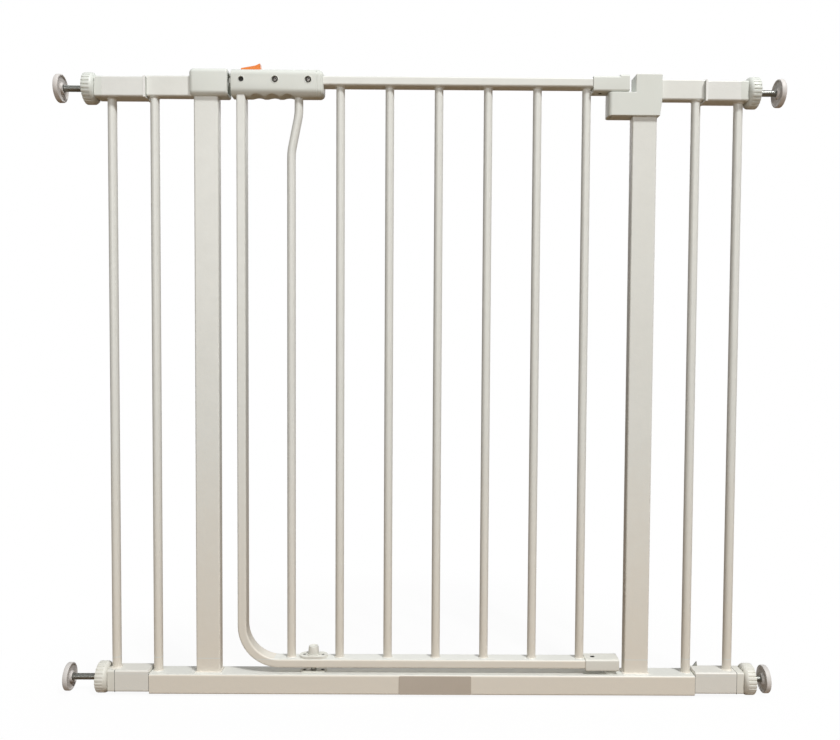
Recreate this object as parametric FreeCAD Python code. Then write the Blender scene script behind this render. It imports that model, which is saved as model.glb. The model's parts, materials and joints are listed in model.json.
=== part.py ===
import FreeCAD, Part
import math
import os

# A pressure-fit safety gate for a doorway or stairs. A U-shaped steel frame carries a gate panel, hinged on
# the right and latched on the left. An extension plugs onto each side, and four threaded spindles with wall
# pads clamp the whole gate between two walls.
#
# All sizes are in millimetres. While the pieces are made, X runs across the opening from its centre, Y runs
# through it from front to back, and Z is up from the underside of the bottom rail. The finished pieces are
# moved together so that the origin lies below the middle of the whole gate, on the floor.

Vector = FreeCAD.Vector
X_AXIS = Vector(1, 0, 0)
Y_AXIS = Vector(0, 1, 0)
Z_AXIS = Vector(0, 0, 1)

# ---- small details shared by many pieces ------------------------------------------------------------
same_place = 1e-6             # two coordinates closer than this are one place
past = 1.0                    # how far a cutting body runs out beyond the surface it opens
screw_edge = 0.35             # rounding of a screw head, as a share of its height
screw_point = 0.6             # flat at a screw's tip, as a share of its radius
screw_head_room = 0.6         # depth of a screw head below the surface around it
bracket_shoulder_radius = 1.5
plate_corner_radius = 1.5
push_in_corner_radius = 1.0   # long edges of plug necks and joiners
clip_slant = 0.8
wheel_chamfer = 0.8
wheel_hub_flare = 1.5         # radial width of the step from the hub to the wheel's cone
wheel_hub_step = 1.0
wheel_grip_standoff = 0.4     # grip notch axis beyond the wheel's rim
pad_dish = 0.9                # how deep the pad's inner face is sunk below its rim
pad_rim_slope = 2.8
pad_rim_inner = 2.2
pad_edge = 0.6
pad_boss_taper = 1.5
boss_inset = 0.2              # handle screw boss below the handle's face
screw_cup_gap = 0.5           # radial room around a handle screw's head
lock_nose_radius = 1.5
button_crest = 1.4            # wedge button: slopes and corners of its outline
button_ramp_run = 5.5
button_ramp_drop = 1.6
button_corner = 1.2
knob_edge = 0.6
knob_lip = 1.4
bolt_pin_chamfer = 1.0

# ---- frame -------------------------------------------------------------------------------------------
frame_height = 760.0          # underside of the bottom rail to the top of the stubs
opening_half_width = 252.0    # opening's centre to a post's inner face
frame_wing = 87.0             # a post's inner face to the frame's outer end
frame_half_width = opening_half_width + frame_wing
tube_wall = 1.2
tube_corner = 2.2             # outside corner radius of the rectangular tubes
rail_height = 25.0
rail_depth = 28.0
post_width = 30.0
post_depth = 15.0
stub_height = 25.0
stub_overlap = 4.5            # how far a stub's inner end stays short of the post's inner face
frame_bar_radius = 5.5
frame_bar_inset = 8.0         # frame bar's axis to the frame's outer end

# ---- extensions, end plugs, spindles ----------------------------------------------------------------
joint_gap = 1.0               # frame's outer end to an extension tube
extension_depth = 25.0
lower_extension_height = 27.0
lower_extension_bottom = 2.0
upper_extension_height = 24.5
upper_extension_drop = 2.5    # stub's top to the upper extension tube's top
long_extension_length = 51.5
short_extension_length = 42.0
extension_bar_radius = 5.5
extension_bar_offset = 44.0   # extension bar's axis to the frame's outer end
plug_flange = 9.0
plug_neck = 15.0
joiner_in_frame = 20.0
joiner_in_extension = 15.0
slip_fit = 0.1                # clearance around a push-in piece
spindle_radius = 4.0
spindle_length = 110.0
spindle_height = lower_extension_bottom + 14.5  # lower spindle's axis above the rail's underside
spindle_in_pad = 4.0
running_fit = 0.08            # radial clearance of a shaft in its hole
joiner_bore_clearance = 1.0

wheel_radius = 19.0
wheel_hub_radius = 15.0
wheel_rim = 10.0
wheel_cone = 4.0
wheel_gap = 0.4
wheel_recess = 2.5
wheel_boss_radius = 8.0
wheel_grips = 24
wheel_grip_radius = 1.15

pad_radius = 17.0
pad_thickness = 6.0
pad_boss = 1.5
pad_boss_radius = 7.0

upper_left_reach = 48.5       # an end plug's outer face to its pad's outer face
lower_left_reach = 54.5
upper_right_reach = 45.0
lower_right_reach = 33.0

# ---- gate panel -------------------------------------------------------------------------------------
gate_tube_size = 11.0         # in the plane of the gate
gate_tube_depth = 20.0
gate_left = -opening_half_width + 22.0  # left face of the side tube
gate_bottom = rail_height + 7.0  # underside of the gate's bottom tube
gate_bend_radius = 46.5       # centre line of the side tube's lower corner
gate_tube_right = opening_half_width - 26.0  # right ends of the gate's two horizontal tubes
gate_bar_radius = 5.25
first_bar_x = gate_left + 65.7
last_bar_x = gate_tube_right - 29.1
straight_bar_count = 6
gate_bar_pitch = (last_bar_x - first_bar_x) / straight_bar_count
bent_bar_offset = 9.2         # how far the first bar's top stands to the right of its foot
bent_bar_drop = 33.0          # gate rail's underside to where the first bar starts to bend
bent_bar_run = 46.0           # height over which it crosses
bent_bar_bend_radius = 60.0

# ---- hinge ------------------------------------------------------------------------------------------
hinge_x = opening_half_width - 16.0
hinge_pin_radius = 4.0
cap_left = hinge_x - 32.6
cap_depth = 23.0
cap_corner = 2.5
upper_cap_right = hinge_x + 11.0
upper_cap_bottom = frame_height - gate_tube_size - 5.4
upper_cap_top = frame_height + 2.0
upper_cap_step_x = hinge_x
upper_cap_step = 2.0
lower_cap_right = hinge_x + 9.0
lower_cap_bottom = gate_bottom - 2.5
lower_cap_top = gate_bottom + gate_tube_size + 1.5
hinge_running_gap = 0.8       # upper cap's underside to the bracket's arm
bracket_left = hinge_x - 14.0
bracket_right = opening_half_width + post_width + 4.7
bracket_foot_right = bracket_right - 2.5
bracket_bottom = upper_cap_bottom - 29.1
bracket_taper_top = frame_height - 27.0
bracket_top = frame_height + 4.5
bracket_post_face = opening_half_width + 2.6  # left face of the part above the arm
bracket_depth = 24.0
bracket_nose_radius = 5.0
upper_pin_bottom = upper_cap_bottom - 23.8
upper_pin_top = frame_height - 3.0
lower_pin_bottom = rail_height - 15.0
lower_pin_top = gate_bottom + 7.5
pin_end_room = 1.2
bush_flange_radius = 8.0
bush_flange = 1.8
bush_radius = 7.0
bush_depth = 18.0
cap_screw_x = cap_left + 10.1
cap_screw_head_radius = 3.0
cap_screw_head = 1.4
cap_screw_radius = 1.6
cap_screw_length = 5.2

# ---- latch keeper, handle and lock ------------------------------------------------------------------
keeper_left = -(opening_half_width + post_width + 4.5)
keeper_right = -opening_half_width + 11.9
fitting_bottom = frame_height - 25.0  # keeper's and handle's underside
fitting_top = frame_height + 8.0
fitting_depth = 27.0
keeper_corner = 6.0
keeper_end_radius = 4.0
keeper_pocket_depth = 9.0
keeper_pocket_width = 18.0
keeper_pocket_bottom = fitting_bottom + 3.0
keeper_pocket_top = fitting_top - 5.0
handle_left = gate_left - 6.0
handle_right = handle_left + 112.2
handle_corner = 9.0
handle_end_radius = 5.0
handle_edge_radius = 1.0
handle_wall = 2.2
handle_floor = 6.0
handle_screw_x = (handle_left + 53.5, handle_left + 93.7)
handle_hole_x = handle_left + 12.7
handle_hole_radius = 3.2
handle_screw_height = frame_height - 5.6
handle_screw_head_radius = 3.4
handle_screw_head = 1.6
handle_screw_seat = 2.0       # depth of the seat below the shell's face
handle_screw_radius = 1.75
handle_screw_tip = 12.5
handle_boss_radius = 5.5
scallop_x = (handle_left + 30.7, handle_left + 49.7, handle_left + 68.4)
scallop_radius = 12.2
scallop_depth = 3.0

lock_nose_gap = 0.4           # lock bolt's nose to the keeper
lock_travel = 8.0
lock_tail_x = handle_left + 40.0
lock_bottom = frame_height - 9.1
lock_height = 6.5
lock_width = 14.0
lock_window_gap = 0.3
button_left = handle_left + 11.0
button_right = button_left + 24.0
button_width = 14.0
button_low = 2.6
button_high = 7.6
button_gap = 0.3              # button's base above the handle
stem_left = button_left + 13.0
stem_right = stem_left + 6.0
stem_width = 4.6
slot_gap = 0.4

# ---- bottom bolt ------------------------------------------------------------------------------------
bolt_x = first_bar_x + gate_bar_pitch / 2 - 2.4
bolt_pin_radius = 3.5
bolt_tip_gap = 0.3            # tip above the strike plate while the bolt is up
bolt_pin_in_knob = 7.8
knob_foot_radius = 6.85
knob_top_radius = 5.9
knob_foot = gate_bottom + gate_tube_size + 3.2
knob_top = knob_foot + 10.8
knob_dish = 1.2
housing_length = 35.0
housing_width = 18.0
housing_thickness = 3.0
housing_collar = 1.2
housing_collar_radius = 8.4
housing_barrel_radius = 7.9
housing_floor = 6.7           # thickness of the barrel's floor, which guides the pin
housing_screw_offset = 11.6
strike_length = 33.3
strike_width = 15.0
strike_thickness = 1.5
strike_boss_radius = 8.4
strike_hole_radius = 4.0
plate_screw_head_radius = 2.3
plate_screw_head = 0.8
plate_screw_radius = 1.4
plate_screw_length = 7.0

# ---- name plate and clip ----------------------------------------------------------------------------
plate_left = -29.1
plate_right = 60.5
plate_margin = 0.8
plate_thickness = 0.8
clip_x = (frame_half_width + joint_gap + 3.5, frame_half_width + joint_gap + 9.0)
clip_height = 6.0
clip_thickness = 2.0

# ---- places worked out from the sizes above ---------------------------------------------------------
post_x = opening_half_width + post_width / 2
stub_bottom = frame_height - stub_height
frame_bar_x = frame_half_width - frame_bar_inset
extension_start = frame_half_width + joint_gap
extension_bar_x = frame_half_width + extension_bar_offset
upper_extension_top = frame_height - upper_extension_drop
upper_extension_bottom = upper_extension_top - upper_extension_height
lower_extension_top = lower_extension_bottom + lower_extension_height
upper_spindle_height = upper_extension_bottom + upper_extension_height / 2
gate_rail_bottom = frame_height - gate_tube_size
gate_bottom_top = gate_bottom + gate_tube_size
bracket_arm_top = upper_cap_bottom - hinge_running_gap
lock_top = lock_bottom + lock_height

# side (left -1, right +1), spindle height, tube bottom, tube height, tube length, reach of the pad
corners = {
    "upper_left": (-1, upper_spindle_height, upper_extension_bottom, upper_extension_height,
                   long_extension_length, upper_left_reach),
    "lower_left": (-1, spindle_height, lower_extension_bottom, lower_extension_height,
                   short_extension_length, lower_left_reach),
    "upper_right": (1, upper_spindle_height, upper_extension_bottom, upper_extension_height,
                    short_extension_length, upper_right_reach),
    "lower_right": (1, spindle_height, lower_extension_bottom, lower_extension_height,
                    long_extension_length, lower_right_reach),
}


# ---- shape helpers ----------------------------------------------------------------------------------
def block(x, y, z):
    """Box from its (low, high) extent along each axis."""
    return Part.makeBox(x[1] - x[0], y[1] - y[0], z[1] - z[0], Vector(x[0], y[0], z[0]))


def about(middle, width):
    """Extent of a width centred on a middle."""
    return (middle - width / 2, middle + width / 2)


def cylinder(radius, start, end):
    """Round bar from one point to another."""
    foot = Vector(*start)
    run = Vector(*end) - foot
    return Part.makeCylinder(radius, run.Length, foot, run)


def upright(radius, x, y, z):
    """Vertical round bar between two heights."""
    return cylinder(radius, (x, y, z[0]), (x, y, z[1]))


def section(middle, u, v, width, depth, radius):
    """Flat face: a rectangle with rounded corners, width along u and depth along v."""
    w = width / 2
    d = depth / 2
    bite = radius * (1 - math.sqrt(0.5))
    ends = []
    edges = []
    for su, sv in ((1, 1), (-1, 1), (-1, -1), (1, -1)):
        near_side = middle + u * (su * w) + v * (sv * (d - radius))
        near_top = middle + u * (su * (w - radius)) + v * (sv * d)
        knee = middle + u * (su * (w - bite)) + v * (sv * (d - bite))
        first, last = (near_side, near_top) if su == sv else (near_top, near_side)
        edges.append(Part.Arc(first, knee, last).toShape())
        ends.append((first, last))
    for here, after in zip(ends, ends[1:] + ends[:1]):
        edges.append(Part.LineSegment(here[1], after[0]).toShape())
    return Part.Face(Part.Wire(Part.__sortEdges__(edges)))


def tube_section(middle, u, v, width, depth):
    """Flat ring face of a rectangular tube."""
    outside = section(middle, u, v, width, depth, tube_corner)
    inside = section(middle, u, v, width - 2 * tube_wall, depth - 2 * tube_wall, tube_corner - tube_wall)
    return outside.cut(inside)


def x_tube(x, z, depth):
    """Rectangular tube along X."""
    middle = Vector(x[0], 0, (z[0] + z[1]) / 2)
    return tube_section(middle, Y_AXIS, Z_AXIS, depth, z[1] - z[0]).extrude(X_AXIS * (x[1] - x[0]))


def x_bar(x, z, depth, radius):
    """Solid bar along X with rounded long edges."""
    middle = Vector(x[0], 0, (z[0] + z[1]) / 2)
    return section(middle, Y_AXIS, Z_AXIS, depth, z[1] - z[0], radius).extrude(X_AXIS * (x[1] - x[0]))


def turned(profile, foot, axis):
    """Solid of revolution: profile holds (radius, distance along the axis) pairs."""
    points = [Vector(along, radius, 0) for radius, along in profile]
    face = Part.Face(Part.makePolygon(points + points[:1]))
    solid = face.revolve(Vector(0, 0, 0), X_AXIS, 360)
    turn = FreeCAD.Rotation(X_AXIS, axis)
    solid.Placement = FreeCAD.Placement(Vector(*foot), turn)
    return solid


def end_edges(shape, x):
    """Edges that lie in the plane at one X."""
    return [edge for edge in shape.Edges if all(abs(p.X - x) < same_place for p in edge.Vertexes)
            and abs(edge.BoundBox.XMax - x) < same_place and abs(edge.BoundBox.XMin - x) < same_place]


def edges_along(shape, axis, keep):
    """Straight edges along an axis whose middle passes the test."""
    found = []
    for edge in shape.Edges:
        if not isinstance(edge.Curve, Part.Line):
            continue
        run = edge.Vertexes[-1].Point - edge.Vertexes[0].Point
        middle = (edge.Vertexes[-1].Point + edge.Vertexes[0].Point) * 0.5
        if abs(abs(run.dot(axis)) - run.Length) < same_place and keep(middle):
            found.append(edge)
    return found


def rounded_plate(x, y_half, z):
    """Flat plate along X with round ends."""
    middle = block((x[0] + y_half, x[1] - y_half), (-y_half, y_half), z)
    left = upright(y_half, x[0] + y_half, 0, z)
    right = upright(y_half, x[1] - y_half, 0, z)
    return middle.fuse([left, right]).removeSplitter()


def screw(seat, head_radius, head_height, radius, length, axis):
    """Round-headed screw: seat is the underside of the head, axis points out of the head."""
    edge = head_height * screw_edge
    profile = [(0, -length), (radius * screw_point, -length), (radius, -length + radius), (radius, 0),
               (head_radius, 0), (head_radius, head_height - edge), (head_radius - edge, head_height),
               (0, head_height)]
    return turned(profile, seat, axis)


# ---- frame ------------------------------------------------------------------------------------------
def bottom_rail():
    rail = x_tube((-frame_half_width, frame_half_width), (0, rail_height), rail_depth)
    top = (rail_height - 2 * tube_wall, rail_height + tube_wall)
    holes = [upright(bush_radius + slip_fit, hinge_x, 0, top), upright(strike_hole_radius, bolt_x, 0, top)]
    for offset in (-housing_screw_offset, housing_screw_offset):
        holes.append(upright(plate_screw_radius, bolt_x + offset, 0, top))
    return rail.cut(holes)


def post(side):
    middle = Vector(side * post_x, 0, rail_height)
    ring = tube_section(middle, X_AXIS, Y_AXIS, post_width, post_depth)
    return ring.extrude(Z_AXIS * (stub_bottom - rail_height))


def top_rail(side):
    inner = opening_half_width + stub_overlap
    ends = sorted((side * inner, side * frame_half_width))
    return x_tube(ends, (stub_bottom, frame_height), post_depth)


def frame_bar(side):
    return upright(frame_bar_radius, side * frame_bar_x, 0, (rail_height, stub_bottom))


def post_room(side, bottom):
    """Space that a post and its stub take inside a plastic fitting."""
    post_space = block(about(side * post_x, post_width + 2 * slip_fit), about(0, post_depth + 2 * slip_fit),
                       (bottom - past, stub_bottom + slip_fit))
    inner = side * (opening_half_width + stub_overlap - slip_fit)
    ends = sorted((inner, side * frame_half_width))
    stub_space = block(ends, about(0, post_depth + 2 * slip_fit),
                       (stub_bottom - slip_fit, frame_height + slip_fit))
    return [post_space, stub_space]


def latch_keeper():
    cap = x_bar((keeper_left, keeper_right), (fitting_bottom, fitting_top), fitting_depth, keeper_corner)
    cap = cap.makeFillet(keeper_end_radius, end_edges(cap, keeper_left))
    cap = cap.makeFillet(handle_edge_radius, end_edges(cap, keeper_right))
    pocket = block((keeper_right - keeper_pocket_depth, keeper_right + past), about(0, keeper_pocket_width),
                   (keeper_pocket_bottom, keeper_pocket_top))
    return cap.cut(post_room(-1, fitting_bottom) + [pocket])


def upper_hinge_bracket():
    outline = [(bracket_left, bracket_bottom), (bracket_foot_right, bracket_bottom),
               (bracket_right, bracket_taper_top), (bracket_right, bracket_top),
               (bracket_post_face, bracket_top), (bracket_post_face, bracket_arm_top),
               (bracket_left, bracket_arm_top)]
    points = [Vector(x, -bracket_depth / 2, z) for x, z in outline]
    body = Part.Face(Part.makePolygon(points + points[:1])).extrude(Y_AXIS * bracket_depth)
    nose = edges_along(body, Z_AXIS, lambda p: abs(p.x - bracket_left) < same_place)
    body = body.makeFillet(bracket_nose_radius, nose)
    shoulders = edges_along(body, Y_AXIS, lambda p: p.z > bracket_top - same_place)
    body = body.makeFillet(bracket_shoulder_radius, shoulders)
    bore_z = (upper_pin_bottom - pin_end_room, bracket_top)
    bore = upright(hinge_pin_radius + running_fit, hinge_x, 0, bore_z)
    return body.cut(post_room(1, bracket_bottom) + [bore])


def lower_hinge_bush():
    flange = upright(bush_flange_radius, hinge_x, 0, (rail_height, rail_height + bush_flange))
    barrel = upright(bush_radius, hinge_x, 0, (rail_height - bush_depth, rail_height))
    bore_z = (lower_pin_bottom - pin_end_room, frame_height)
    bore = upright(hinge_pin_radius + running_fit, hinge_x, 0, bore_z)
    return flange.fuse(barrel).removeSplitter().cut(bore)


def strike_plate():
    z = (rail_height, rail_height + strike_thickness)
    plate = rounded_plate(about(bolt_x, strike_length), strike_width / 2, z)
    plate = plate.fuse(upright(strike_boss_radius, bolt_x, 0, z)).removeSplitter()
    holes = [upright(strike_hole_radius, bolt_x, 0, (z[0] - past, z[1] + past))]
    for x in (bolt_x - housing_screw_offset, bolt_x + housing_screw_offset):
        holes.append(upright(plate_screw_radius + slip_fit, x, 0, (z[0] - past, z[1] + past)))
        seat = z[1] - plate_screw_head
        holes.append(upright(plate_screw_head_radius + slip_fit, x, 0, (seat, z[1] + past)))
    return plate.cut(holes)


def strike_plate_screws():
    seat = rail_height + strike_thickness - plate_screw_head
    places = (bolt_x - housing_screw_offset, bolt_x + housing_screw_offset)
    return Part.makeCompound([screw((x, 0, seat), plate_screw_head_radius, plate_screw_head,
                                    plate_screw_radius, plate_screw_length, Z_AXIS) for x in places])


def name_plate():
    face = -rail_depth / 2
    plate = block((plate_left, plate_right), (face - plate_thickness, face),
                  (plate_margin, rail_height - plate_margin))
    corners_of_plate = edges_along(plate, Y_AXIS, lambda p: True)
    return plate.makeFillet(plate_corner_radius, corners_of_plate)


# ---- extensions -------------------------------------------------------------------------------------
def extension_tube(corner):
    side, _, bottom, height, length, _ = corners[corner]
    ends = sorted((side * extension_start, side * (extension_start + length)))
    return x_tube(ends, (bottom, bottom + height), extension_depth)


def extension_bar(side):
    return upright(extension_bar_radius, side * extension_bar_x, 0,
                   (lower_extension_top, upper_extension_bottom))


def inside(z):
    """Height extent of a push-in piece in a tube of this height extent."""
    return (z[0] + tube_wall + slip_fit, z[1] - tube_wall - slip_fit)


def end_plug(corner):
    side, axis_z, bottom, height, length, _ = corners[corner]
    start = extension_start + length
    z = (bottom, bottom + height)
    flange = x_bar(sorted((side * start, side * (start + plug_flange))), z, extension_depth, tube_corner)
    neck_depth = extension_depth - 2 * (tube_wall + slip_fit)
    neck = x_bar(sorted((side * (start - plug_neck), side * start)), inside(z), neck_depth,
                 push_in_corner_radius)
    bore = cylinder(spindle_radius + running_fit, (side * (start - plug_neck - past), 0, axis_z),
                    (side * (start + plug_flange + past), 0, axis_z))
    return flange.fuse(neck).removeSplitter().cut(bore)


def extension_joiners():
    """Four sleeves, each pushed into the frame at one end and into an extension tube at the other."""
    sleeves = []
    for side, axis_z, bottom, height, _, _ in corners.values():
        lower = axis_z < frame_height / 2
        frame_z = (0, rail_height) if lower else (stub_bottom, frame_height)
        frame_depth = rail_depth if lower else post_depth
        middle = (frame_half_width + extension_start) / 2
        frame_x = sorted((side * (frame_half_width - joiner_in_frame), side * middle))
        outer_x = sorted((side * middle, side * (extension_start + joiner_in_extension)))
        shrink = 2 * (tube_wall + slip_fit)
        frame_end = x_bar(frame_x, inside(frame_z), frame_depth - shrink, push_in_corner_radius)
        outer_end = x_bar(outer_x, inside((bottom, bottom + height)), extension_depth - shrink,
                          push_in_corner_radius)
        bore_start = side * (frame_half_width - joiner_in_frame - past)
        bore_end = side * (extension_start + joiner_in_extension + past)
        bore_radius = spindle_radius + joiner_bore_clearance
        bore = cylinder(bore_radius, (bore_start, 0, axis_z), (bore_end, 0, axis_z))
        sleeves.append(frame_end.fuse(outer_end).cut(bore))
    return Part.makeCompound(sleeves)


def extension_clip():
    """Three-cornered release tab that stands on the lower right extension tube."""
    back = extension_depth / 2 - tube_corner
    foot = lower_extension_top
    outline = [Vector(clip_x[0], back - clip_thickness, foot), Vector(clip_x[1], back - clip_thickness, foot),
               Vector(clip_x[1] - clip_slant, back - clip_thickness, foot + clip_height)]
    return Part.Face(Part.makePolygon(outline + outline[:1])).extrude(Y_AXIS * clip_thickness)


# ---- spindles ---------------------------------------------------------------------------------------
def plug_face(corner):
    """Distance from the opening's centre to the end plug's outer face."""
    return extension_start + corners[corner][4] + plug_flange


def thumb_wheel(corner):
    side, axis_z = corners[corner][:2]
    start = plug_face(corner) + wheel_gap
    bore = spindle_radius + running_fit
    width = wheel_cone + wheel_rim
    profile = [(bore, 0), (wheel_hub_radius, 0), (wheel_hub_radius + wheel_hub_flare, wheel_hub_step),
               (wheel_radius, wheel_cone), (wheel_radius, width - wheel_chamfer),
               (wheel_radius - wheel_chamfer, width), (wheel_hub_radius, width),
               (wheel_hub_radius, width - wheel_recess), (wheel_boss_radius, width - wheel_recess),
               (wheel_boss_radius, width), (bore, width)]
    wheel = turned(profile, (side * start, 0, axis_z), X_AXIS * side)
    grips = []
    for index in range(wheel_grips):
        angle = 2 * math.pi * (index + 0.5) / wheel_grips
        grip_circle = wheel_radius + wheel_grip_standoff
        y = grip_circle * math.sin(angle)
        z = axis_z + grip_circle * math.cos(angle)
        grips.append(cylinder(wheel_grip_radius, (side * (start + wheel_cone), y, z),
                              (side * (start + width + past), y, z)))
    return wheel.cut(grips)


def pad_face(corner):
    """Distance from the opening's centre to the wall pad's outer face."""
    return plug_face(corner) + corners[corner][5]


def spindle(corner):
    side, axis_z = corners[corner][:2]
    tip = pad_face(corner) - pad_thickness + spindle_in_pad
    return cylinder(spindle_radius, (side * (tip - spindle_length), 0, axis_z), (side * tip, 0, axis_z))


def wall_pad(corner):
    side, axis_z = corners[corner][:2]
    start = pad_face(corner) - pad_thickness
    hole = spindle_radius + slip_fit / 2
    floor = spindle_in_pad + slip_fit
    profile = [(hole, -pad_boss), (pad_boss_radius - pad_boss_taper, -pad_boss), (pad_boss_radius, pad_dish),
               (pad_radius - pad_rim_slope, pad_dish), (pad_radius - pad_rim_inner, 0),
               (pad_radius - pad_dish, 0), (pad_radius, pad_dish), (pad_radius, pad_thickness - pad_edge),
               (pad_radius - pad_edge, pad_thickness), (0, pad_thickness),
               (0, floor), (hole, floor)]
    return turned(profile, (side * start, 0, axis_z), X_AXIS * side)


# ---- gate panel -------------------------------------------------------------------------------------
def gate_side_tube():
    """Tube that comes down from the handle, turns the lower left corner and runs on to the lower hinge."""
    upright_x = gate_left + gate_tube_size / 2
    bottom_z = gate_bottom + gate_tube_size / 2
    bend_x = upright_x + gate_bend_radius
    bend_z = bottom_z + gate_bend_radius
    ring = tube_section(Vector(upright_x, 0, bend_z), X_AXIS, Y_AXIS, gate_tube_size, gate_tube_depth)
    leg = ring.extrude(Z_AXIS * (gate_rail_bottom - bend_z))
    knee = ring.revolve(Vector(bend_x, 0, bend_z), Y_AXIS, -90)
    foot = x_tube((bend_x, gate_tube_right), (gate_bottom, gate_bottom_top), gate_tube_depth)
    tube = leg.fuse([knee, foot])
    top = (gate_bottom_top - 2 * tube_wall, gate_bottom_top + past)
    floor = (gate_bottom - past, gate_bottom + 2 * tube_wall)
    holes = [upright(housing_barrel_radius + slip_fit, bolt_x, 0, top),
             upright(bolt_pin_radius + running_fit, bolt_x, 0, floor),
             upright(cap_screw_radius, cap_screw_x, 0, top)]
    for offset in (-housing_screw_offset, housing_screw_offset):
        holes.append(upright(plate_screw_radius, bolt_x + offset, 0, top))
    return tube.cut(holes)


def stem_slot(z):
    """Slot in which the button's stem travels."""
    x = (stem_left - lock_travel - slot_gap, stem_right + slot_gap)
    return block(x, about(0, stem_width + 2 * slot_gap), z)


def handle_screw_line(radius, x, y):
    """Round space through the handle at one screw's place."""
    return cylinder(radius, (x, y[0], handle_screw_height), (x, y[1], handle_screw_height))


def gate_top_rail():
    rail = x_tube((gate_left, gate_tube_right), (gate_rail_bottom, frame_height), gate_tube_depth)
    front = (-gate_tube_depth, 0)
    through = (-gate_tube_depth, gate_tube_depth)
    cuts = [stem_slot((lock_top, frame_height + past))]
    cuts.append(handle_screw_line(handle_hole_radius, handle_hole_x, front))
    cuts += [handle_screw_line(handle_screw_radius + slip_fit, x, through) for x in handle_screw_x]
    floor = (gate_rail_bottom - past, gate_rail_bottom + 2 * tube_wall)
    cuts.append(upright(cap_screw_radius, cap_screw_x, 0, floor))
    return rail.cut(cuts)


def bent_gate_bar():
    """First bar: it stands further right at the top and crosses back with two tangent bends."""
    top_x = first_bar_x + bent_bar_offset
    upper_knee = gate_rail_bottom - bent_bar_drop
    lower_knee = upper_knee - bent_bar_run
    turn = math.atan2(bent_bar_offset, bent_bar_run)
    reach = bent_bar_bend_radius * math.tan(turn / 2)
    slope = Vector(-math.sin(turn), 0, -math.cos(turn))
    sag = bent_bar_bend_radius * (1 / math.cos(turn / 2) - 1)
    upper = Vector(top_x, 0, upper_knee)
    lower = Vector(first_bar_x, 0, lower_knee)
    start_upper = upper + Z_AXIS * reach
    end_upper = upper + slope * reach
    start_lower = lower - slope * reach
    end_lower = lower - Z_AXIS * reach
    toward_upper = (start_upper + end_upper) * 0.5 - upper
    toward_lower = (start_lower + end_lower) * 0.5 - lower
    knee_upper = upper + toward_upper.normalize() * sag
    knee_lower = lower + toward_lower.normalize() * sag
    head = Vector(top_x, 0, gate_rail_bottom)
    foot = Vector(first_bar_x, 0, gate_bottom_top)
    path = Part.Wire([Part.LineSegment(head, start_upper).toShape(),
                      Part.Arc(start_upper, knee_upper, end_upper).toShape(),
                      Part.LineSegment(end_upper, start_lower).toShape(),
                      Part.Arc(start_lower, knee_lower, end_lower).toShape(),
                      Part.LineSegment(end_lower, foot).toShape()])
    circle = Part.Wire([Part.Circle(head, Z_AXIS, gate_bar_radius).toShape()])
    return path.makePipeShell([circle], True, False)


def straight_gate_bar(index):
    x = first_bar_x + gate_bar_pitch * index
    return upright(gate_bar_radius, x, 0, (gate_bottom_top, gate_rail_bottom))


# ---- handle and lock --------------------------------------------------------------------------------
def handle_body():
    """Handle before it is split into its front and rear shells."""
    body = x_bar((handle_left, handle_right), (fitting_bottom, fitting_top), fitting_depth, handle_corner)
    body = body.makeFillet(handle_end_radius, end_edges(body, handle_right))
    body = body.makeFillet(handle_edge_radius, end_edges(body, handle_left))
    dip = fitting_bottom + scallop_depth - scallop_radius
    reach = fitting_depth
    scallops = [cylinder(scallop_radius, (x, -reach, dip), (x, reach, dip)) for x in scallop_x]
    room = x_bar((handle_left + handle_wall, handle_right - handle_wall),
                 (fitting_bottom + handle_floor, fitting_top - handle_wall),
                 fitting_depth - 2 * handle_wall, handle_corner - handle_wall)
    body = body.cut(scallops + [room])
    half = fitting_depth / 2
    wall_start = gate_tube_depth / 2 + slip_fit
    bosses = []
    for x in handle_screw_x:
        bosses.append(handle_screw_line(handle_boss_radius, x, (-half + boss_inset, -wall_start)))
        bosses.append(handle_screw_line(handle_boss_radius, x, (wall_start, half - boss_inset)))
    body = body.fuse(bosses)
    tube_room = about(0, gate_tube_depth + 2 * slip_fit)
    rail_room = block((handle_left + handle_wall, handle_right + past), tube_room,
                      (gate_rail_bottom - slip_fit, frame_height + slip_fit))
    leg_room = block(about(gate_left + gate_tube_size / 2, gate_tube_size + 2 * slip_fit),
                     tube_room, (fitting_bottom - past, gate_rail_bottom))
    bar_room = upright(gate_bar_radius + slip_fit, first_bar_x + bent_bar_offset, 0,
                       (fitting_bottom - past, gate_rail_bottom))
    window = block((handle_left - past, handle_left + handle_wall + past),
                   about(0, lock_width + 2 * lock_window_gap),
                   (lock_bottom - lock_window_gap, lock_top + lock_window_gap))
    slot = stem_slot((frame_height, fitting_top + past))
    hole = handle_screw_line(handle_hole_radius, handle_hole_x, (-fitting_depth, 0))
    cuts = [rail_room, leg_room, bar_room, window, slot, hole]
    for x in handle_screw_x:
        cup = handle_screw_head_radius + screw_cup_gap
        cuts.append(handle_screw_line(cup, x, (-fitting_depth, -half + handle_screw_seat)))
        cuts.append(handle_screw_line(handle_screw_radius, x, (-half, handle_screw_tip)))
    return body.cut(cuts)


def handle_shell(side):
    """Front (-1) or rear (+1) half of the handle."""
    ends = sorted((0, side * fitting_depth))
    half_space = block((handle_left - past, handle_right + past), ends,
                       (fitting_bottom - past, fitting_top + past))
    return handle_body().common(half_space)


def handle_screws():
    seat = -fitting_depth / 2 + handle_screw_seat
    length = handle_screw_tip - seat - slip_fit
    return Part.makeCompound([screw((x, seat, handle_screw_height), handle_screw_head_radius,
                                    handle_screw_head, handle_screw_radius, length, -Y_AXIS)
                              for x in handle_screw_x])


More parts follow.
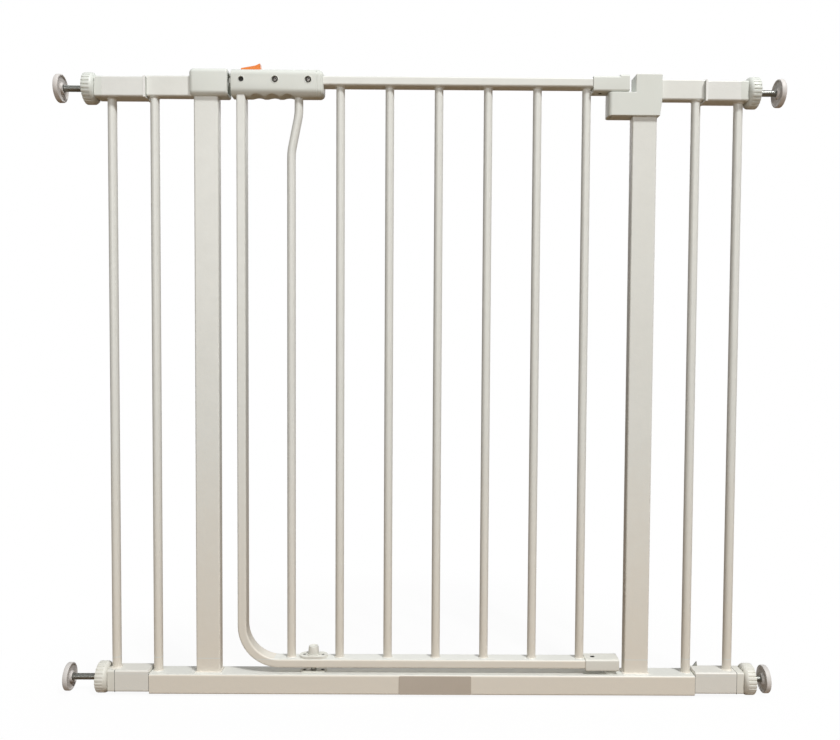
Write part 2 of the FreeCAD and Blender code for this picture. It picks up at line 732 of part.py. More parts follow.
def lock_bolt():
    nose = keeper_right + lock_nose_gap
    bolt = block((nose, lock_tail_x), about(0, lock_width), (lock_bottom, lock_top))
    corners_of_nose = edges_along(bolt, Z_AXIS, lambda p: abs(p.x - nose) < same_place)
    return bolt.makeFillet(lock_nose_radius, corners_of_nose)


def latch_button():
    """Wedge-shaped thumb button with its stem, which stands on the lock bolt."""
    base = fitting_top + button_gap
    half = button_width / 2
    crest = base + button_high
    outline = [(button_left, base), (button_right, base), (button_right, crest - button_crest),
               (button_right - button_crest, crest),
               (button_right - button_ramp_run, crest - button_ramp_drop),
               (button_left + button_corner, base + button_low),
               (button_left, base + button_low - button_corner)]
    points = [Vector(x, -half, z) for x, z in outline]
    wedge = Part.Face(Part.makePolygon(points + points[:1])).extrude(Y_AXIS * button_width)
    stem = block((stem_left, stem_right), about(0, stem_width), (lock_top, base + past))
    return wedge.fuse(stem).removeSplitter()


# ---- hinge ------------------------------------------------------------------------------------------
def upper_hinge_cap():
    cap = x_bar((cap_left, upper_cap_right), (upper_cap_bottom, upper_cap_top), cap_depth, cap_corner)
    step = x_bar((upper_cap_step_x, upper_cap_right), (upper_cap_bottom, upper_cap_top + upper_cap_step),
                 cap_depth, cap_corner)
    cap = cap.fuse(step).removeSplitter()
    pocket = block((cap_left - past, gate_tube_right + slip_fit), about(0, gate_tube_depth + 2 * slip_fit),
                   (gate_rail_bottom - slip_fit, frame_height + slip_fit))
    bore_z = (upper_cap_bottom - past, upper_pin_top + pin_end_room)
    bore = upright(hinge_pin_radius + running_fit, hinge_x, 0, bore_z)
    seat = upper_cap_bottom + cap_screw_head + screw_head_room
    head = upright(cap_screw_head_radius + slip_fit, cap_screw_x, 0, (upper_cap_bottom - past, seat))
    shank = upright(cap_screw_radius + slip_fit, cap_screw_x, 0, (seat - past, gate_rail_bottom + past))
    return cap.cut([pocket, bore, head, shank])


def lower_hinge_cap():
    cap = x_bar((cap_left, lower_cap_right), (lower_cap_bottom, lower_cap_top), cap_depth, cap_corner)
    pocket = block((cap_left - past, gate_tube_right + slip_fit), about(0, gate_tube_depth + 2 * slip_fit),
                   (gate_bottom - slip_fit, gate_bottom_top + slip_fit))
    bore_z = (lower_cap_bottom - past, lower_pin_top + pin_end_room)
    bore = upright(hinge_pin_radius + running_fit, hinge_x, 0, bore_z)
    head = upright(cap_screw_head_radius + slip_fit, cap_screw_x, 0, (gate_bottom_top, lower_cap_top + past))
    return cap.cut([pocket, bore, head])


def hinge_cap_screws():
    below = screw((cap_screw_x, 0, upper_cap_bottom + cap_screw_head + screw_head_room),
                  cap_screw_head_radius, cap_screw_head, cap_screw_radius, cap_screw_length, -Z_AXIS)
    above = screw((cap_screw_x, 0, gate_bottom_top), cap_screw_head_radius, cap_screw_head,
                  cap_screw_radius, cap_screw_length, Z_AXIS)
    return Part.makeCompound([below, above])


def hinge_pins():
    upper = upright(hinge_pin_radius, hinge_x, 0, (upper_pin_bottom, upper_pin_top))
    lower = upright(hinge_pin_radius, hinge_x, 0, (lower_pin_bottom, lower_pin_top))
    return Part.makeCompound([upper, lower])


# ---- bottom bolt ------------------------------------------------------------------------------------
def bolt_housing():
    """Screwed-on plate with a barrel that reaches down through the gate's bottom tube."""
    plate_top = gate_bottom_top + housing_thickness
    collar_top = plate_top + housing_collar
    plate = rounded_plate(about(bolt_x, housing_length), housing_width / 2, (gate_bottom_top, plate_top))
    barrel_foot = gate_bottom + tube_wall
    barrel = upright(housing_barrel_radius, bolt_x, 0, (barrel_foot, gate_bottom_top))
    collar = upright(housing_collar_radius, bolt_x, 0, (plate_top, collar_top))
    body = plate.fuse([barrel, collar]).removeSplitter()
    well_z = (barrel_foot + housing_floor, collar_top + past)
    well = upright(knob_foot_radius + running_fit, bolt_x, 0, well_z)
    guide = upright(bolt_pin_radius + running_fit, bolt_x, 0, (barrel_foot - past, collar_top))
    holes = [well, guide]
    for x in (bolt_x - housing_screw_offset, bolt_x + housing_screw_offset):
        holes.append(upright(plate_screw_radius + slip_fit, x, 0, (gate_bottom_top - past, plate_top)))
        seat = plate_top - 2 * plate_screw_head
        holes.append(upright(plate_screw_head_radius + slip_fit, x, 0, (seat, plate_top + past)))
    return body.cut(holes)


def bolt_housing_screws():
    seat = gate_bottom_top + housing_thickness - 2 * plate_screw_head
    places = (bolt_x - housing_screw_offset, bolt_x + housing_screw_offset)
    return Part.makeCompound([screw((x, 0, seat), plate_screw_head_radius, plate_screw_head,
                                    plate_screw_radius, plate_screw_length, Z_AXIS) for x in places])


def bolt_knob():
    profile = [(0, knob_foot), (knob_foot_radius, knob_foot), (knob_top_radius, knob_top - knob_edge),
               (knob_top_radius - knob_edge, knob_top), (knob_top_radius - knob_lip, knob_top),
               (0, knob_top - knob_dish)]
    knob = turned(profile, (bolt_x, 0, 0), Z_AXIS)
    return knob.cut(upright(bolt_pin_radius, bolt_x, 0, (knob_foot - past, knob_foot + bolt_pin_in_knob)))


def bolt_pin():
    tip = rail_height + strike_thickness + bolt_tip_gap
    top = knob_foot + bolt_pin_in_knob
    profile = [(0, tip), (bolt_pin_radius - bolt_pin_chamfer, tip),
               (bolt_pin_radius, tip + bolt_pin_chamfer), (bolt_pin_radius, top), (0, top)]
    return turned(profile, (bolt_x, 0, 0), Z_AXIS)


# ---- all nodes --------------------------------------------------------------------------------------
def all_nodes():
    nodes = {
        "bottom_rail": bottom_rail(),
        "left_post": post(-1),
        "right_post": post(1),
        "left_top_rail": top_rail(-1),
        "right_top_rail": top_rail(1),
        "left_frame_bar": frame_bar(-1),
        "right_frame_bar": frame_bar(1),
        "latch_keeper": latch_keeper(),
        "upper_hinge_bracket": upper_hinge_bracket(),
        "lower_hinge_bush": lower_hinge_bush(),
        "strike_plate": strike_plate(),
        "strike_plate_screws": strike_plate_screws(),
        "name_plate": name_plate(),
        "left_extension_bar": extension_bar(-1),
        "right_extension_bar": extension_bar(1),
        "extension_joiners": extension_joiners(),
        "extension_clip": extension_clip(),
        "gate_side_tube": gate_side_tube(),
        "gate_top_rail": gate_top_rail(),
        "bent_gate_bar": bent_gate_bar(),
        "handle_front_shell": handle_shell(-1),
        "handle_rear_shell": handle_shell(1),
        "handle_screws": handle_screws(),
        "lock_bolt": lock_bolt(),
        "latch_button": latch_button(),
        "upper_hinge_cap": upper_hinge_cap(),
        "lower_hinge_cap": lower_hinge_cap(),
        "hinge_cap_screws": hinge_cap_screws(),
        "hinge_pins": hinge_pins(),
        "bolt_housing": bolt_housing(),
        "bolt_housing_screws": bolt_housing_screws(),
        "bolt_knob": bolt_knob(),
        "bolt_pin": bolt_pin(),
    }
    for index in range(1, straight_bar_count + 1):
        nodes["gate_bar_%d" % index] = straight_gate_bar(index)
    for corner in corners:
        nodes[corner + "_extension_tube"] = extension_tube(corner)
        nodes[corner + "_end_plug"] = end_plug(corner)
        nodes[corner + "_thumb_wheel"] = thumb_wheel(corner)
        nodes[corner + "_spindle"] = spindle(corner)
        nodes[corner + "_wall_pad"] = wall_pad(corner)
    return nodes


def main():
    left_end = max(pad_face("upper_left"), pad_face("lower_left"))
    right_end = max(pad_face("upper_right"), pad_face("lower_right"))
    to_origin = Vector((left_end - right_end) / 2, 0, wheel_radius - spindle_height)
    os.makedirs("parts", exist_ok=True)
    for name, shape in all_nodes().items():
        placed = shape.copy()
        placed.translate(to_origin)
        placed.exportStep(os.path.join("parts", name + ".step"))
        print(name, len(placed.Solids), "solids", placed.isValid())


main()
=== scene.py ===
# %% [markdown]
# This lesson dresses a steel safety gate for a doorway. The engineering model gives every part its
# exact place, and Blender adds what engineering leaves out: paint, moulded plastic, screw threads,
# weld beads and light. It begins by loading that model as a fixed frame that nothing may move.

# %% Load the frame
import json
import math
import time
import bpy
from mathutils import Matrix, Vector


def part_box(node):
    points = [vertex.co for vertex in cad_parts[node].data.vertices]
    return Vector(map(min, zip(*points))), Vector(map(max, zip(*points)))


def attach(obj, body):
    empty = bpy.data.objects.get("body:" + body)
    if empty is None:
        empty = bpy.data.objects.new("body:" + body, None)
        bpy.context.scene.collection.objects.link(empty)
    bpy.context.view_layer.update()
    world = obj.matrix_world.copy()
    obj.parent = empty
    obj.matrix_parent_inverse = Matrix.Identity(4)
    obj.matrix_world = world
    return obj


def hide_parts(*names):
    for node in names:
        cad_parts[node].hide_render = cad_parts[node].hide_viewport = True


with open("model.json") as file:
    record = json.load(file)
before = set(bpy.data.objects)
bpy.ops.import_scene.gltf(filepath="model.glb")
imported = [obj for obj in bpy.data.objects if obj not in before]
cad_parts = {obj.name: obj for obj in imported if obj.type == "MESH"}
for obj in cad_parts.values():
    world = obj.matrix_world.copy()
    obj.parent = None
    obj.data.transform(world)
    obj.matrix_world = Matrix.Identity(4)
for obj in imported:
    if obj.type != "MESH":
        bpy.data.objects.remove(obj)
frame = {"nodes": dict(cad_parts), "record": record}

T0 = time.time()
import bmesh
import bpy
from mathutils import Matrix, Vector, noise

MM = 0.001
nodes = frame["nodes"]
node_body = {name: body for body, names in frame["record"]["behaviour"]["bodies"].items() for name in names}
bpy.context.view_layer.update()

# %% [markdown]
# The camera stands about a metre in front of the gate, a little below its top rail, and looks
# slightly down. A short lens makes the near edges of the tubes spread apart, so that the
# undersides of the top fittings and the upper faces of the bottom rail both show.

# %% Camera
camera_data = bpy.data.cameras.new("camera")
camera_data.lens = 35.06
camera_data.sensor_width = 36.0
camera_data.clip_start = 0.05
camera_data.clip_end = 40.0
camera = bpy.data.objects.new("camera", camera_data)
camera.location = (-0.0034, -1.0135, 0.4455)
look = Matrix.Rotation(math.radians(-0.27), 4, "Z") @ Matrix.Rotation(math.radians(90 - 2.22), 4, "X")
camera.matrix_world = Matrix.Translation(camera.location) @ look @ Matrix.Rotation(math.radians(0.331), 4, "Z")
bpy.context.scene.collection.objects.link(camera)
bpy.context.scene.camera = camera
print("camera at", [round(value, 3) for value in camera.matrix_world.translation])

# %% [markdown]
# Materials are written as small programs. Value wraps one output of a node, and arithmetic on it
# adds Math nodes, so a mask can be written as 1 - noise. Finish is a material with one method,
# add, that makes every other node: its type, its settings, and what goes into its sockets.

# %% Shader helpers
class Value:
    """A number inside a material."""

    def __init__(self, finish, socket):
        self.finish = finish
        self.socket = socket

    def math(self, operation, *terms):
        return self.finish.add("Math", {"operation": operation}, dict(enumerate(terms)))

    def __add__(self, other):
        return self.math("ADD", self, other)

    def __sub__(self, other):
        return self.math("SUBTRACT", self, other)

    def __rsub__(self, other):
        return self.math("SUBTRACT", other, self)

    def __mul__(self, other):
        return self.math("MULTIPLY", self, other)

    def __truediv__(self, other):
        return self.math("DIVIDE", self, other)

    def __gt__(self, other):
        return self.math("GREATER_THAN", self, other)

    __radd__ = __add__
    __rmul__ = __mul__

    def clamped(self):
        return self.math("MAXIMUM", self.math("MINIMUM", self, 1.0), 0.0)


class Finish:
    """A material built on one Principled shader."""

    def __init__(self, name, **constants):
        self.material = bpy.data.materials.new(name)
        self.material.use_nodes = True
        self.tree = self.material.node_tree
        self.shader = next(n for n in self.tree.nodes if n.type == "BSDF_PRINCIPLED")
        for label, value in constants.items():
            self.shader.inputs[label.replace("_", " ")].default_value = value
        self.place = self.add("TexCoord", output="Object")

    def add(self, kind, settings=None, inputs=None, output=0):
        node = self.tree.nodes.new("ShaderNode" + kind)
        stops = None
        for label, value in (settings or {}).items():
            if label == "stops":
                stops = value
            else:
                setattr(node, label, value)
        if stops:
            ramp = node.color_ramp.elements
            while len(ramp) < len(stops):
                ramp.new(1.0)
            for element, (position, colour) in zip(ramp, stops):
                element.position = position
                element.color = (*colour, 1.0)
        for label, value in (inputs or {}).items():
            if isinstance(value, Value):
                self.tree.links.new(value.socket, node.inputs[label])
            else:
                node.inputs[label].default_value = value
        return Value(self, node.outputs[output])

    def feed(self, **values):
        for label, value in values.items():
            self.tree.links.new(value.socket, self.shader.inputs[label.replace("_", " ")])

    def noise(self, scale, detail=2.0, roughness=0.5):
        grain = {"Vector": self.place, "Scale": scale, "Detail": detail, "Roughness": roughness}
        return self.add("TexNoise", None, grain)

    def blend(self, mask, first, second):
        sockets = {0: mask, 6: first, 7: second}
        return self.add("Mix", {"data_type": "RGBA"}, sockets, 2)

    def bump(self, height, distance, strength=1.0, under=None):
        sockets = {"Height": height, "Distance": distance, "Strength": strength}
        if under:
            sockets["Normal"] = under
        return self.add("Bump", None, sockets)


def rgba(red, green, blue):
    return (red, green, blue, 1.0)

# %% [markdown]
# The steel is powder coated. Dry powder melts into a satin skin that is never quite flat: it has a
# fine orange-peel ripple about a millimetre across, and here and there a grain of undissolved
# powder. The colour drifts a little too, because the coat is thicker in some places. Three layers
# of noise at those three scales give all of this without any picture. Near the floor a warm tint
# is painted over the paint as painted bounce light from the brown floor. It fades out about a hand
# above the floor, and the flat, upward-facing tops of the two lowest tubes are left out of it.

# %% Powder coat
tube_tops = (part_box("bottom_rail")[1].z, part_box("gate_side_tube")[0].z + 11.0 * MM)


def powder_coat(name, colour, warm, floor_bounce):
    finish = Finish(name, Roughness=0.42, Coat_Weight=0.3, Coat_Roughness=0.3, IOR=1.5)
    drift = finish.noise(9.0, 3.0)
    patches = finish.noise(70.0, 3.0, 0.6)
    specks = finish.noise(1500.0, 2.0, 0.7)
    tone = finish.blend((drift * 1.6 - 0.3).clamped(), rgba(*colour), rgba(*warm))
    dim = finish.blend((patches * 2.4 - 0.9).clamped() * 0.35, tone, rgba(*[0.93 * c for c in warm]))
    dusty = finish.blend((specks * 5.0 - 3.1).clamped() * 0.25, dim, rgba(*[0.8 * c for c in warm]))
    ripple = finish.bump(finish.noise(650.0, 2.0), 0.00012, 0.55)
    wave = finish.bump(finish.noise(130.0, 1.0), 0.0004, 0.25, ripple)
    height = finish.add("SeparateXYZ", None, {0: finish.place}, 2)
    # Painted floor bounce: a warm tint that fades out about 0.3 m above the floor and is left off the flat upward tops
    # of the two lowest tubes.
    bounce_free_tops = sum(height.math("COMPARE", height, top, 0.6 * MM) for top in tube_tops) * 0.85
    painted_bounce = (1.08 - height / 0.3 + (patches - 0.5) * 0.3).clamped() * (1.0 - bounce_free_tops) * floor_bounce
    bounce_tinted = finish.blend(painted_bounce, dusty, rgba(0.80, 0.75, 0.66))
    finish.feed(Base_Color=bounce_tinted, Roughness=0.36 + 0.14 * patches + 0.06 * specks, Normal=wave)
    return finish.material


# The last number is the strength of the painted floor bounce.
painted = powder_coat("powder_coat", (0.80, 0.815, 0.78), (0.77, 0.78, 0.74), 0.95)
sleeve_coat = powder_coat("sleeve_coat", (0.81, 0.825, 0.80), (0.78, 0.79, 0.76), 0.4)
print("finishes:", painted.name, sleeve_coat.name)

# %% [markdown]
# The fittings are moulded plastic with a slightly cooler white. A mould is spark eroded, which
# leaves a fine even grain, and the skin picks up faint scuffs that change its gloss more than its
# colour. So the scuffs go mainly into the roughness.

# %% Moulded plastic
def moulded(name, colour, shade, gloss=0.42, grain=1400.0, floor_bounce=0.0):
    finish = Finish(name, Roughness=gloss, IOR=1.46)
    clouds = finish.noise(24.0, 3.0)
    scuff = finish.add("TexNoise", None, {"Vector": stretched(finish, (1.0, 1.0, 0.12)), "Scale": 420.0,
                                          "Detail": 3.0, "Roughness": 0.65})
    marks = (scuff * 4.0 - 2.35).clamped()
    tone = finish.blend((clouds * 1.8 - 0.4).clamped(), rgba(*colour), rgba(*shade))
    wear_and_bounce = finish.blend(marks * 0.22, tone, rgba(*[0.9 * c for c in shade]))
    skin = finish.bump(finish.noise(grain, 1.0), 0.00006, 0.6)
    # Painted floor bounce: a warm tint that fades out 0.2 m above the floor.
    if floor_bounce:
        height = finish.add("SeparateXYZ", None, {0: finish.place}, 2)
        wear_and_bounce = finish.blend((1.0 - height / 0.2).clamped() * floor_bounce, wear_and_bounce, rgba(0.80, 0.765, 0.69))
    finish.feed(Base_Color=wear_and_bounce, Roughness=(gloss - 0.05) + 0.1 * clouds + 0.12 * marks, Normal=skin)
    return finish.material


def stretched(finish, scale):
    return finish.add("Mapping", None, {"Vector": finish.place, "Scale": scale})


# The white plastic also gets the painted floor bounce near the floor.
white_plastic = moulded("white_plastic", (0.745, 0.775, 0.735), (0.715, 0.74, 0.695), floor_bounce=0.7)
lip_plastic = moulded("lip_plastic", (0.90, 0.91, 0.89), (0.87, 0.88, 0.86))
pad_plastic = moulded("pad_plastic", (0.70, 0.675, 0.655), (0.65, 0.62, 0.60), 0.5)
lock_plastic = moulded("lock_plastic", (0.74, 0.75, 0.72), (0.70, 0.71, 0.68))
orange_plastic = moulded("orange_plastic", (0.86, 0.22, 0.004), (0.78, 0.18, 0.003), 0.35, 1800.0)
# A near-black used as painted shade in the lower joints, the plug seams and the spare hole.
shade_black = moulded("shade_black", (0.045, 0.043, 0.04), (0.03, 0.029, 0.027), 0.6)
plate_plastic = moulded("plate_plastic", (0.56, 0.50, 0.43), (0.52, 0.46, 0.39), 0.45)
print("finishes:", white_plastic.name, pad_plastic.name, lock_plastic.name, orange_plastic.name,
      plate_plastic.name)

# %% [markdown]
# Spindles, pins and screws are zinc plated. Zinc is a bluish grey metal whose crystals and
# handling marks show as small patches of changing gloss, with a few darker spots where the
# plating has begun to dull.

# %% Zinc plate
def zinc(name, colour, dull):
    finish = Finish(name, Metallic=1.0, Roughness=0.3)
    crystals = finish.add("TexVoronoi", None, {"Vector": finish.place, "Scale": 900.0}, 0)
    clouds = finish.noise(300.0, 3.0, 0.6)
    tone = finish.blend((clouds * 2.2 - 0.7).clamped(), rgba(*colour), rgba(*dull))
    finish.feed(Base_Color=tone, Roughness=0.24 + 0.16 * clouds + 0.08 * crystals,
                Normal=finish.bump(finish.noise(2200.0, 1.0), 0.00004, 0.5))
    return finish.material


zinc_steel = zinc("zinc_steel", (0.50, 0.51, 0.49), (0.34, 0.34, 0.31))
screw_steel = zinc("screw_steel", (0.17, 0.16, 0.15), (0.07, 0.065, 0.06))
black_steel = zinc("black_steel", (0.03, 0.029, 0.027), (0.018, 0.017, 0.016))
print("finishes:", zinc_steel.name, screw_steel.name, black_steel.name)

# %% [markdown]
# Each engineering part keeps its own mesh and gets the finish of its material slot in the record.
# The sleeves of the extensions come from another batch of paint, so they have their own coat,
# with a slightly cooler colour and less of the painted floor bounce.

# %% Dress the engineering parts
finishes = {"powder_coat": painted, "white_plastic": white_plastic, "pad_plastic": pad_plastic,
            "zinc_steel": zinc_steel, "lock_plastic": lock_plastic, "orange_plastic": orange_plastic,
            "plate_plastic": plate_plastic}
slot_of = {part["node"]: part["material_slot"] for part in frame["record"]["subparts"]}
for name, part in nodes.items():
    part.data.materials.clear()
    part.data.materials.append(sleeve_coat if name.endswith("extension_tube") else finishes[slot_of[name]])

# %% [markdown]
# Many pieces of the gate need the same last steps, so they share one function. It turns a finished
# bmesh into an object at the origin, gives it its finish, smooths it except at real edges, and
# lets it ride on the body that carries the part it stands for.

# %% Make a piece
def make(name, mesh, material, replaced=(), rides_with=None, bevel_width=0.0, sharp=38.0):
    bmesh.ops.remove_doubles(mesh, verts=mesh.verts, dist=0.002 * MM)
    bmesh.ops.recalc_face_normals(mesh, faces=mesh.faces)
    data = bpy.data.meshes.new(name)
    mesh.to_mesh(data)
    mesh.free()
    data.materials.append(material)
    data.shade_smooth()
    data.set_sharp_from_angle(angle=math.radians(sharp))
    piece = bpy.data.objects.new(name, data)
    bpy.context.scene.collection.objects.link(piece)
    if bevel_width:
        soften = piece.modifiers.new("soft_edges", "BEVEL")
        soften.width = bevel_width * MM
        soften.segments = 3
        soften.limit_method = "ANGLE"
        soften.angle_limit = math.radians(34)
        soften.harden_normals = True
    leader = rides_with or replaced[0]
    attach(piece, node_body[leader])
    if replaced:
        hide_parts(*replaced)
    return piece


def carve(piece, cutters):
    """Cuts the cutters out of a piece and keeps the result as its mesh."""
    tools = []
    for number, cutter in enumerate(cutters):
        bmesh.ops.recalc_face_normals(cutter, faces=cutter.faces)
        data = bpy.data.meshes.new("cutter")
        cutter.to_mesh(data)
        cutter.free()
        tool = bpy.data.objects.new("cutter_%d" % number, data)
        bpy.context.scene.collection.objects.link(tool)
        cut = piece.modifiers.new("cut_%d" % number, "BOOLEAN")
        cut.operation = "DIFFERENCE"
        cut.solver = "EXACT"
        cut.object = tool
        tools.append(tool)
    soften = [m for m in piece.modifiers if m.type == "BEVEL"]
    for modifier in soften:
        piece.modifiers.move(piece.modifiers.find(modifier.name), len(piece.modifiers) - 1)
        modifier.show_viewport = False
    bpy.context.view_layer.update()
    shaped = bpy.data.meshes.new_from_object(piece.evaluated_get(bpy.context.evaluated_depsgraph_get()))
    for modifier in [m for m in piece.modifiers if m.type == "BOOLEAN"]:
        piece.modifiers.remove(modifier)
    for modifier in soften:
        modifier.show_viewport = True
    piece.data = shaped
    shaped.name = piece.name
    for tool in tools:
        bpy.data.objects.remove(tool)
    return piece

# %% [markdown]
# Round parts are turned: a wire outline in (radius, distance along the axis) is spun once round,
# as on a lathe. Outlines are in millimetres, and the turned mesh is then aimed and moved to its
# place. Blocks start from a cube between two corners.

# %% Turned shapes and blocks
def turned(outline, foot, axis, steps=72):
    mesh = bmesh.new()
    row = [mesh.verts.new((along * MM, radius * MM, 0.0)) for radius, along in outline]
    wire = [mesh.edges.new(pair) for pair in zip(row, row[1:])]
    bmesh.ops.spin(mesh, geom=row + wire, cent=(0, 0, 0), axis=(1, 0, 0), angle=2 * math.pi, steps=steps,
                   use_merge=True)
    bmesh.ops.remove_doubles(mesh, verts=mesh.verts, dist=0.001 * MM)
    bmesh.ops.recalc_face_normals(mesh, faces=mesh.faces)
    aim(mesh, foot, axis)
    return mesh


def aim(mesh, foot, axis):
    turn = Vector((1, 0, 0)).rotation_difference(Vector(axis)).to_matrix().to_4x4()
    bmesh.ops.transform(mesh, matrix=Matrix.Translation(foot) @ turn, verts=mesh.verts)


def block(low, high):
    mesh = bmesh.new()
    bmesh.ops.create_cube(mesh, size=1.0)
    bmesh.ops.scale(mesh, vec=Vector(high) - Vector(low), verts=mesh.verts)
    bmesh.ops.translate(mesh, vec=(Vector(high) + Vector(low)) / 2, verts=mesh.verts)
    return mesh


def round_edges(mesh, test, radius, segments):
    """Rounds the edges whose two ends both pass the test."""
    chosen = [edge for edge in mesh.edges if all(test(vert.co) for vert in edge.verts)]
    bmesh.ops.bevel(mesh, geom=chosen, offset=radius * MM, offset_type="OFFSET", segments=segments,
                    profile=0.5, affect="EDGES", material=-1)


def along_x(mesh, radius, segments):
    """Rounds the four long edges of a block that lies along X."""
    chosen = [edge for edge in mesh.edges if abs(edge.verts[0].co.x - edge.verts[1].co.x) > MM]
    bmesh.ops.bevel(mesh, geom=chosen, offset=radius * MM, offset_type="OFFSET", segments=segments,
                    profile=0.5, affect="EDGES", material=-1)


def middle(node):
    low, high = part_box(node)
    return (low + high) / 2

# %% [markdown]
# The wall spindles are M8 threaded rods. A thread is one ridge wound round a core, so the outline
# of a single pitch is spun round the axis again and again while it moves along by one pitch per
# turn. The ends are then sawn off square and closed.

# %% Threaded spindles
PITCH = 1.25
CORE = 3.32
CREST = 3.98
THREAD_STEPS = 20
CORNERS = ("upper_left", "lower_left", "upper_right", "lower_right")


def threaded_rod(node):
    low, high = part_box(node)
    turns = math.ceil((high.x - low.x) / MM / PITCH) + 2
    mesh = bmesh.new()
    ridge = [(CORE, 0.0), (CORE, 0.22), (CREST, 0.56), (CREST, 0.74), (CORE, 1.08), (CORE, PITCH)]
    row = [mesh.verts.new((along * MM, radius * MM, 0.0)) for radius, along in ridge]
    wire = [mesh.edges.new(pair) for pair in zip(row, row[1:])]
    bmesh.ops.spin(mesh, geom=row + wire, cent=(0, 0, 0), axis=(1, 0, 0), angle=2 * math.pi * turns,
                   dvec=(PITCH * MM / THREAD_STEPS, 0, 0), steps=THREAD_STEPS * turns)
    bmesh.ops.remove_doubles(mesh, verts=mesh.verts, dist=0.004 * MM)
    bmesh.ops.recalc_face_normals(mesh, faces=mesh.faces)
    axis = (low + high) / 2
    bmesh.ops.translate(mesh, vec=(low.x - PITCH * MM, axis.y, axis.z), verts=mesh.verts)
    for end, outward in ((low.x, -1), (high.x, 1)):
        whole = list(mesh.verts) + list(mesh.edges) + list(mesh.faces)
        sawn = bmesh.ops.bisect_plane(mesh, geom=whole, plane_co=(end, 0, 0), plane_no=(outward, 0, 0),
                                      clear_outer=True)
        rim = [edge for edge in sawn["geom_cut"] if isinstance(edge, bmesh.types.BMEdge)]
        bmesh.ops.edgeloop_fill(mesh, edges=rim)
    return make(node.replace("spindle", "threaded_rod"), mesh, zinc_steel, [node], sharp=25)


for corner in CORNERS:
    rod = threaded_rod(corner + "_spindle")
print("threaded rod:", len(rod.data.polygons), "faces")

# %% [markdown]
# A thumb wheel is a moulded nut with a smooth domed face towards the gate and a ribbed rim for the
# fingers. It is turned in 144 steps, and every sixth column of rim points is then pushed in, which
# leaves 24 broad ribs with narrow grooves between them. Webs stiffen its hollow outer face.

# %% Thumb wheels
RIBS = 24
STEPS_PER_RIB = 6
WHEEL_RADIUS = 18.95
WHEEL_WIDTH = 14.0


def thumb_wheel(corner):
    node = corner + "_thumb_wheel"
    low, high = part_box(node)
    side = 1 if low.x > 0 else -1
    foot = Vector((low.x if side > 0 else high.x, 0, middle(node).z))
    outline = [(4.1, 0.6), (5.0, 0.0), (12.6, 0.0), (13.2, 0.5), (14.0, 0.5), (14.6, 0.1), (15.9, 0.55), (17.2, 1.5),
               (18.2, 2.8), (WHEEL_RADIUS - 0.12, 4.0), (WHEEL_RADIUS, 4.6), (WHEEL_RADIUS, 9.0),
               (WHEEL_RADIUS, WHEEL_WIDTH - 1.0), (WHEEL_RADIUS - 0.3, WHEEL_WIDTH - 0.3),
               (WHEEL_RADIUS - 1.0, WHEEL_WIDTH), (15.6, WHEEL_WIDTH), (15.0, WHEEL_WIDTH - 0.5),
               (14.6, WHEEL_WIDTH - 4.0), (14.0, WHEEL_WIDTH - 4.4), (8.4, WHEEL_WIDTH - 4.4),
               (8.0, WHEEL_WIDTH - 4.0), (7.8, WHEEL_WIDTH - 0.5), (7.3, WHEEL_WIDTH), (4.6, WHEEL_WIDTH),
               (4.1, WHEEL_WIDTH - 0.5)]
    mesh = turned(outline + outline[:1], (0, 0, 0), (1, 0, 0), RIBS * STEPS_PER_RIB)
    rim_inner = (WHEEL_RADIUS - 1.1) * MM
    for vert in mesh.verts:
        radius = math.hypot(vert.co.y, vert.co.z)
        if radius < rim_inner or vert.co.x < 3.9 * MM:
            continue
        column = round(math.atan2(vert.co.z, vert.co.y) / (2 * math.pi) * RIBS * STEPS_PER_RIB) % STEPS_PER_RIB
        shrink = {0: 1.25, 1: 0.16, STEPS_PER_RIB - 1: 0.16}.get(column, 0.0) * MM
        if vert.co.x < 4.3 * MM:
            shrink *= 0.3
        scale = (radius - shrink) / radius
        vert.co.y *= scale
        vert.co.z *= scale
    for number in range(6):
        web = bmesh.ops.create_cube(mesh, size=1.0)["verts"]
        bmesh.ops.scale(mesh, vec=(3.6 * MM, 7.4 * MM, 1.5 * MM), verts=web)
        bmesh.ops.translate(mesh, vec=((WHEEL_WIDTH - 2.8) * MM, 11.3 * MM, 0), verts=web)
        bmesh.ops.rotate(mesh, cent=(0, 0, 0), matrix=Matrix.Rotation(number * math.pi / 3, 3, "X"), verts=web)
    aim(mesh, foot, (side, 0, 0))
    return make(corner + "_ribbed_wheel", mesh, white_plastic, [node], sharp=32)


for corner in CORNERS:
    wheel = thumb_wheel(corner)
print("t", time.time() - T0)
print("thumb wheel:", len(wheel.data.polygons), "faces")

# %% [markdown]
# A wall pad is a shallow moulded dish. Its back is flat for the wall, its rim is thick, and a
# collar in the middle holds the end of the spindle.

# %% Wall pads
def wall_pad(corner):
    node = corner + "_wall_pad"
    low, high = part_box(node)
    side = 1 if low.x > 0 else -1
    wall = high.x if side > 0 else low.x
    outline = [(0.0, 0.15), (4.0, 0.15), (4.6, 0.0), (15.9, 0.0), (16.6, 0.25), (16.95, 0.9), (16.95, 4.8),
               (16.7, 5.6), (16.1, 6.0), (15.2, 6.0), (14.7, 5.7), (14.4, 5.2), (13.8, 4.9), (10.5, 4.75), (7.4, 4.8),
               (6.8, 5.3), (6.5, 6.6), (6.0, 7.4), (4.5, 7.45), (4.25, 7.2), (4.2, 5.2), (0.0, 5.2)]
    mesh = turned(outline, (wall, 0, middle(node).z), (-side, 0, 0), 80)
    return make(corner + "_dished_pad", mesh, pad_plastic, [node], sharp=30)


for corner in CORNERS:
    pad = wall_pad(corner)
print("wall pad:", len(pad.data.polygons), "faces")

# %% [markdown]
# The keeper is a moulded cap over the top of the left post. Its outside is a block with generous
# roundings, and on the gate's side it has a pocket for the lock bolt.

# %% Latch keeper
def x_limits(mesh):
    places = [vert.co.x for vert in mesh.verts]
    return min(places), max(places)


